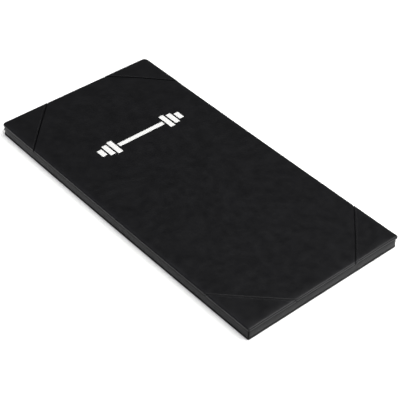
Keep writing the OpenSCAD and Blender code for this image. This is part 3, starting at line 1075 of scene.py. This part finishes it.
# %% Metals
enamel, tree, shader, coords = finish_named("baked_black_enamel_on_zinc")
specks = noise_of(tree, coords, 1.5 * MM, detail=4.0, rough=0.65)
gloss = add(tree, "ShaderNodeMapRange", {"To Min": 0.26, "To Max": 0.48}, {"Value": specks})
tree.links.new(gloss.outputs["Result"], shader.inputs["Roughness"])
base = add(tree, "ShaderNodeMix", {"data_type": "RGBA", 6: linear("#111113"), 7: linear("#242427")},
           {0: specks})
tree.links.new(base.outputs[2], shader.inputs["Base Color"])
peel = add(tree, "ShaderNodeBump", {"Strength": 0.3, "Distance": 0.05 * MM}, {"Height": specks})
tree.links.new(peel.outputs["Normal"], shader.inputs["Normal"])

nickel, tree, shader, coords = finish_named("nickel_plated_wire", Metallic=1.0)
smears = noise_of(tree, coords, 1.2 * MM, detail=5.0, rough=0.7)
gloss = add(tree, "ShaderNodeMapRange", {"To Min": 0.16, "To Max": 0.36}, {"Value": smears})
tree.links.new(gloss.outputs["Result"], shader.inputs["Roughness"])
base = add(tree, "ShaderNodeMix", {"data_type": "RGBA", 6: linear("#c8c6c0"), 7: linear("#e2e0da")},
           {0: smears})
tree.links.new(base.outputs[2], shader.inputs["Base Color"])
print(enamel.name, nickel.name)

# %% [markdown]
# ### Ink and foam
# The print is matt white plastisol ink, thick enough to hide the black but not the grain. The
# foam is hidden, so its kind and colour are guesses: grey cross-linked polyethylene with cells
# about a millimetre wide.

# %% Ink and foam
white_ink, tree, shader, coords = finish_named("white_screen_ink", Roughness=0.55)
patchy = noise_of(tree, coords, 14 * MM, detail=4.0, rough=0.6)
base = add(tree, "ShaderNodeMix", {"data_type": "RGBA", 6: linear("#e2e2e0"), 7: linear("#f6f6f4")},
           {0: patchy})
tree.links.new(base.outputs[2], shader.inputs["Base Color"])
grain = add(tree, "ShaderNodeTexVoronoi", {"feature": "SMOOTH_F1", "Scale": 1 / GRAIN,
            "Smoothness": 0.6}, {"Vector": coords}).outputs["Distance"]
dimpled = add(tree, "ShaderNodeBump", {"Strength": 0.2, "Distance": 0.2 * MM}, {"Height": grain})
tree.links.new(dimpled.outputs["Normal"], shader.inputs["Normal"])

cells, tree, shader, coords = finish_named("polyethylene_foam", Roughness=0.9)
pores = add(tree, "ShaderNodeTexVoronoi", {"Scale": 1 / (1.2 * MM)},
            {"Vector": coords}).outputs["Distance"]
base = add(tree, "ShaderNodeMix", {"data_type": "RGBA", 6: linear("#7c7e82"), 7: linear("#9c9ea2")},
           {0: pores})
tree.links.new(base.outputs[2], shader.inputs["Base Color"])
porous = add(tree, "ShaderNodeBump", {"Strength": 0.8, "Distance": 0.3 * MM}, {"Height": pores})
tree.links.new(porous.outputs["Normal"], shader.inputs["Normal"])
print(white_ink.name, cells.name)

# %% Paint every piece
FINISHES = {
    "leatherette": leatherette, "underside_vinyl": underside, "foam": cells,
    "thread": thread, "zip_tape": tape_cloth, "zip_coil": nylon,
    "black_metal": enamel, "nickel": nickel, "white_ink": white_ink,
}
for piece in scene.objects:
    if piece.get("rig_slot") and piece.type == "MESH" and "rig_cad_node" not in piece:
        paint(piece, FINISHES[piece["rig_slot"]])

# %% [markdown]
# ## Studio
# Plain white paper lies under the mat. It glows a little by itself, which thins the shadow at
# the mat's foot. Most of the light comes from a broad soft ceiling, which the camera doesn't
# see mirrored in the top, so the black stays black. A softbox on the near side lifts the near
# band and draws a bright line along the near roll.

# %% Floor
FLOOR_HALF, FLOOR_GLOW = 16.0, 0.3
floor_bm = bmesh.new()
bmesh.ops.create_grid(floor_bm, x_segments=1, y_segments=1, size=FLOOR_HALF)
floor = new_piece("floor", floor_bm, smooth=False)
floor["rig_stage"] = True
paper, tree, shader, coords = finish_named("white_paper", Roughness=0.85)
fibre = noise_of(tree, coords, 0.5, detail=3.0)
base = add(tree, "ShaderNodeMix", {"data_type": "RGBA", 6: linear("#f4f4f3"), 7: linear("#f7f7f7")},
           {0: fibre})
tree.links.new(base.outputs[2], shader.inputs["Base Color"])
shader.inputs["Emission Color"].default_value = (1.0, 1.0, 1.0, 1.0)
shader.inputs["Emission Strength"].default_value = FLOOR_GLOW
paint(floor, paper)

# %% Lights
KEY_GLOW, ROOM_GLOW = 6.9, 0.12
KEY_FROM = Vector((0.24, -0.24, 1.0)).normalized()
world = bpy.data.worlds.new("soft_key")
world.use_nodes = True
scene.world = world
tree = world.node_tree
tree.nodes.clear()
direction = add(tree, "ShaderNodeTexCoord").outputs["Generated"]
facing = add(tree, "ShaderNodeVectorMath", {"operation": "DOT_PRODUCT", 1: KEY_FROM},
             {0: direction}).outputs["Value"]
glow = add(tree, "ShaderNodeMapRange", {"interpolation_type": "SMOOTHSTEP", "From Min": 0.82,
           "From Max": 0.97, "To Min": ROOM_GLOW, "To Max": KEY_GLOW}, {"Value": facing})
sky = add(tree, "ShaderNodeBackground", links={"Strength": glow.outputs["Result"]})
add(tree, "ShaderNodeOutputWorld", links={"Surface": sky.outputs["Background"]})


def softbox(name, place, target, wide, tall, power):
    """A rectangular area light that faces a point."""
    data = bpy.data.lights.new(name, "AREA")
    data.shape = "RECTANGLE"
    data.size, data.size_y, data.energy = wide, tall, power
    lamp = bpy.data.objects.new(name, data)
    lamp.location = place
    lamp.rotation_mode = "QUATERNION"
    lamp.rotation_quaternion = (Vector(target) - Vector(place)).to_track_quat("-Z", "Y")
    scene.collection.objects.link(lamp)


softbox("near_softbox", (1.5, -2.6, 2.0), (0.0, -0.7, 0.0), 1.6, 1.6, 22.0)
scene.view_settings.view_transform = "Standard"
print("key", KEY_GLOW, "room", ROOM_GLOW)

# %% Measure the mat's bounds
low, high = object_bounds()
